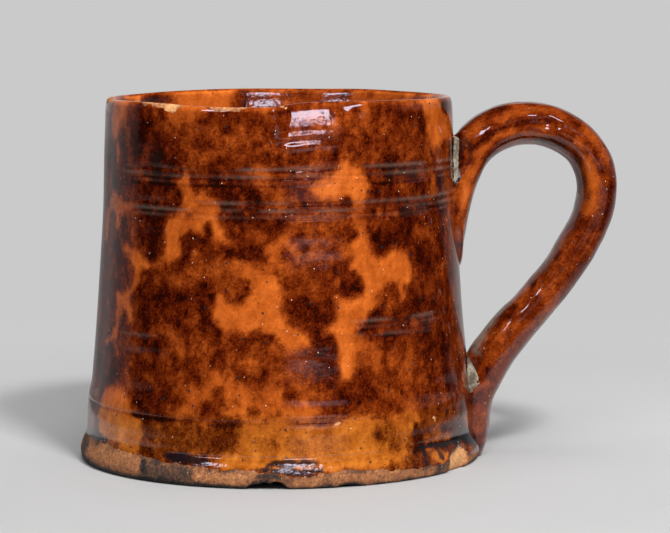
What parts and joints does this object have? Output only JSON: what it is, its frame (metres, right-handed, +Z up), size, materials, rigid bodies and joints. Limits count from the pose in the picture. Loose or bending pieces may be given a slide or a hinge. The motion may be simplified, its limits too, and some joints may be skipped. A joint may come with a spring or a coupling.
{
  "type": "mug",
  "caption": "Thrown redware mug with a flared foot ring, turned lines, mottled brown glaze and a pulled strap handle with old repairs.",
  "frame": {"origin": "centre of the flat underside, on the surface the mug stands on", "axes": "+Z up along the axis that the body was thrown about, +X towards the handle"},
  "size_m": [0.1641, 0.1228, 0.11],
  "materials": {
    "body_glaze": "glossy transparent lead glaze over red clay, mottled from orange to near black, with bare worn clay at the foot and lip",
    "handle_glaze": "glossy brown lead glaze, darker in the hollows",
    "putty": "matt chalky repair putty"
  },
  "bodies": {
    "root": {"thrown_body": "body_glaze", "handle_strap": "handle_glaze", "upper_terminal_tail": "handle_glaze", "lower_terminal": "handle_glaze", "upper_joint_filler": "putty", "lower_joint_filler": "putty"}
  },
  "joints": []
}
